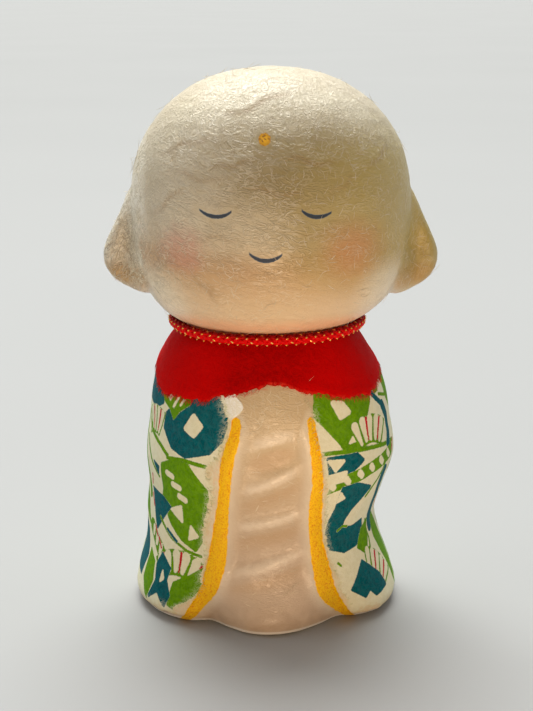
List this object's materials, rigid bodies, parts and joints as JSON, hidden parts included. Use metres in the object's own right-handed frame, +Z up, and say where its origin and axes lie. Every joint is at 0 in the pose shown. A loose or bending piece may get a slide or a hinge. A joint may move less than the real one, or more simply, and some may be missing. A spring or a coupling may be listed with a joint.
{
  "type": "jizo figurine",
  "caption": "Small standing Jizo figurine of papier-mache, with a big round head, long ears, a red paper bib, patterned robe paper and a braided neck cord.",
  "frame": {"origin": "middle of the underside, on the surface that the figurine stands on", "axes": "+Z up through the crown of the head; -Y is the way the figure looks; +X is on its left, the viewer's right"},
  "size_m": [0.0585, 0.0462, 0.095],
  "materials": {
    "white_washi": "matte",
    "patterned_paper": "matte",
    "red_paper": "matte",
    "red_cord": "satin"
  },
  "bodies": {
    "root": {"figure": "white_washi", "robe_paper": "patterned_paper", "red_bib": "red_paper", "neck_cord": "red_cord"}
  },
  "joints": []
}
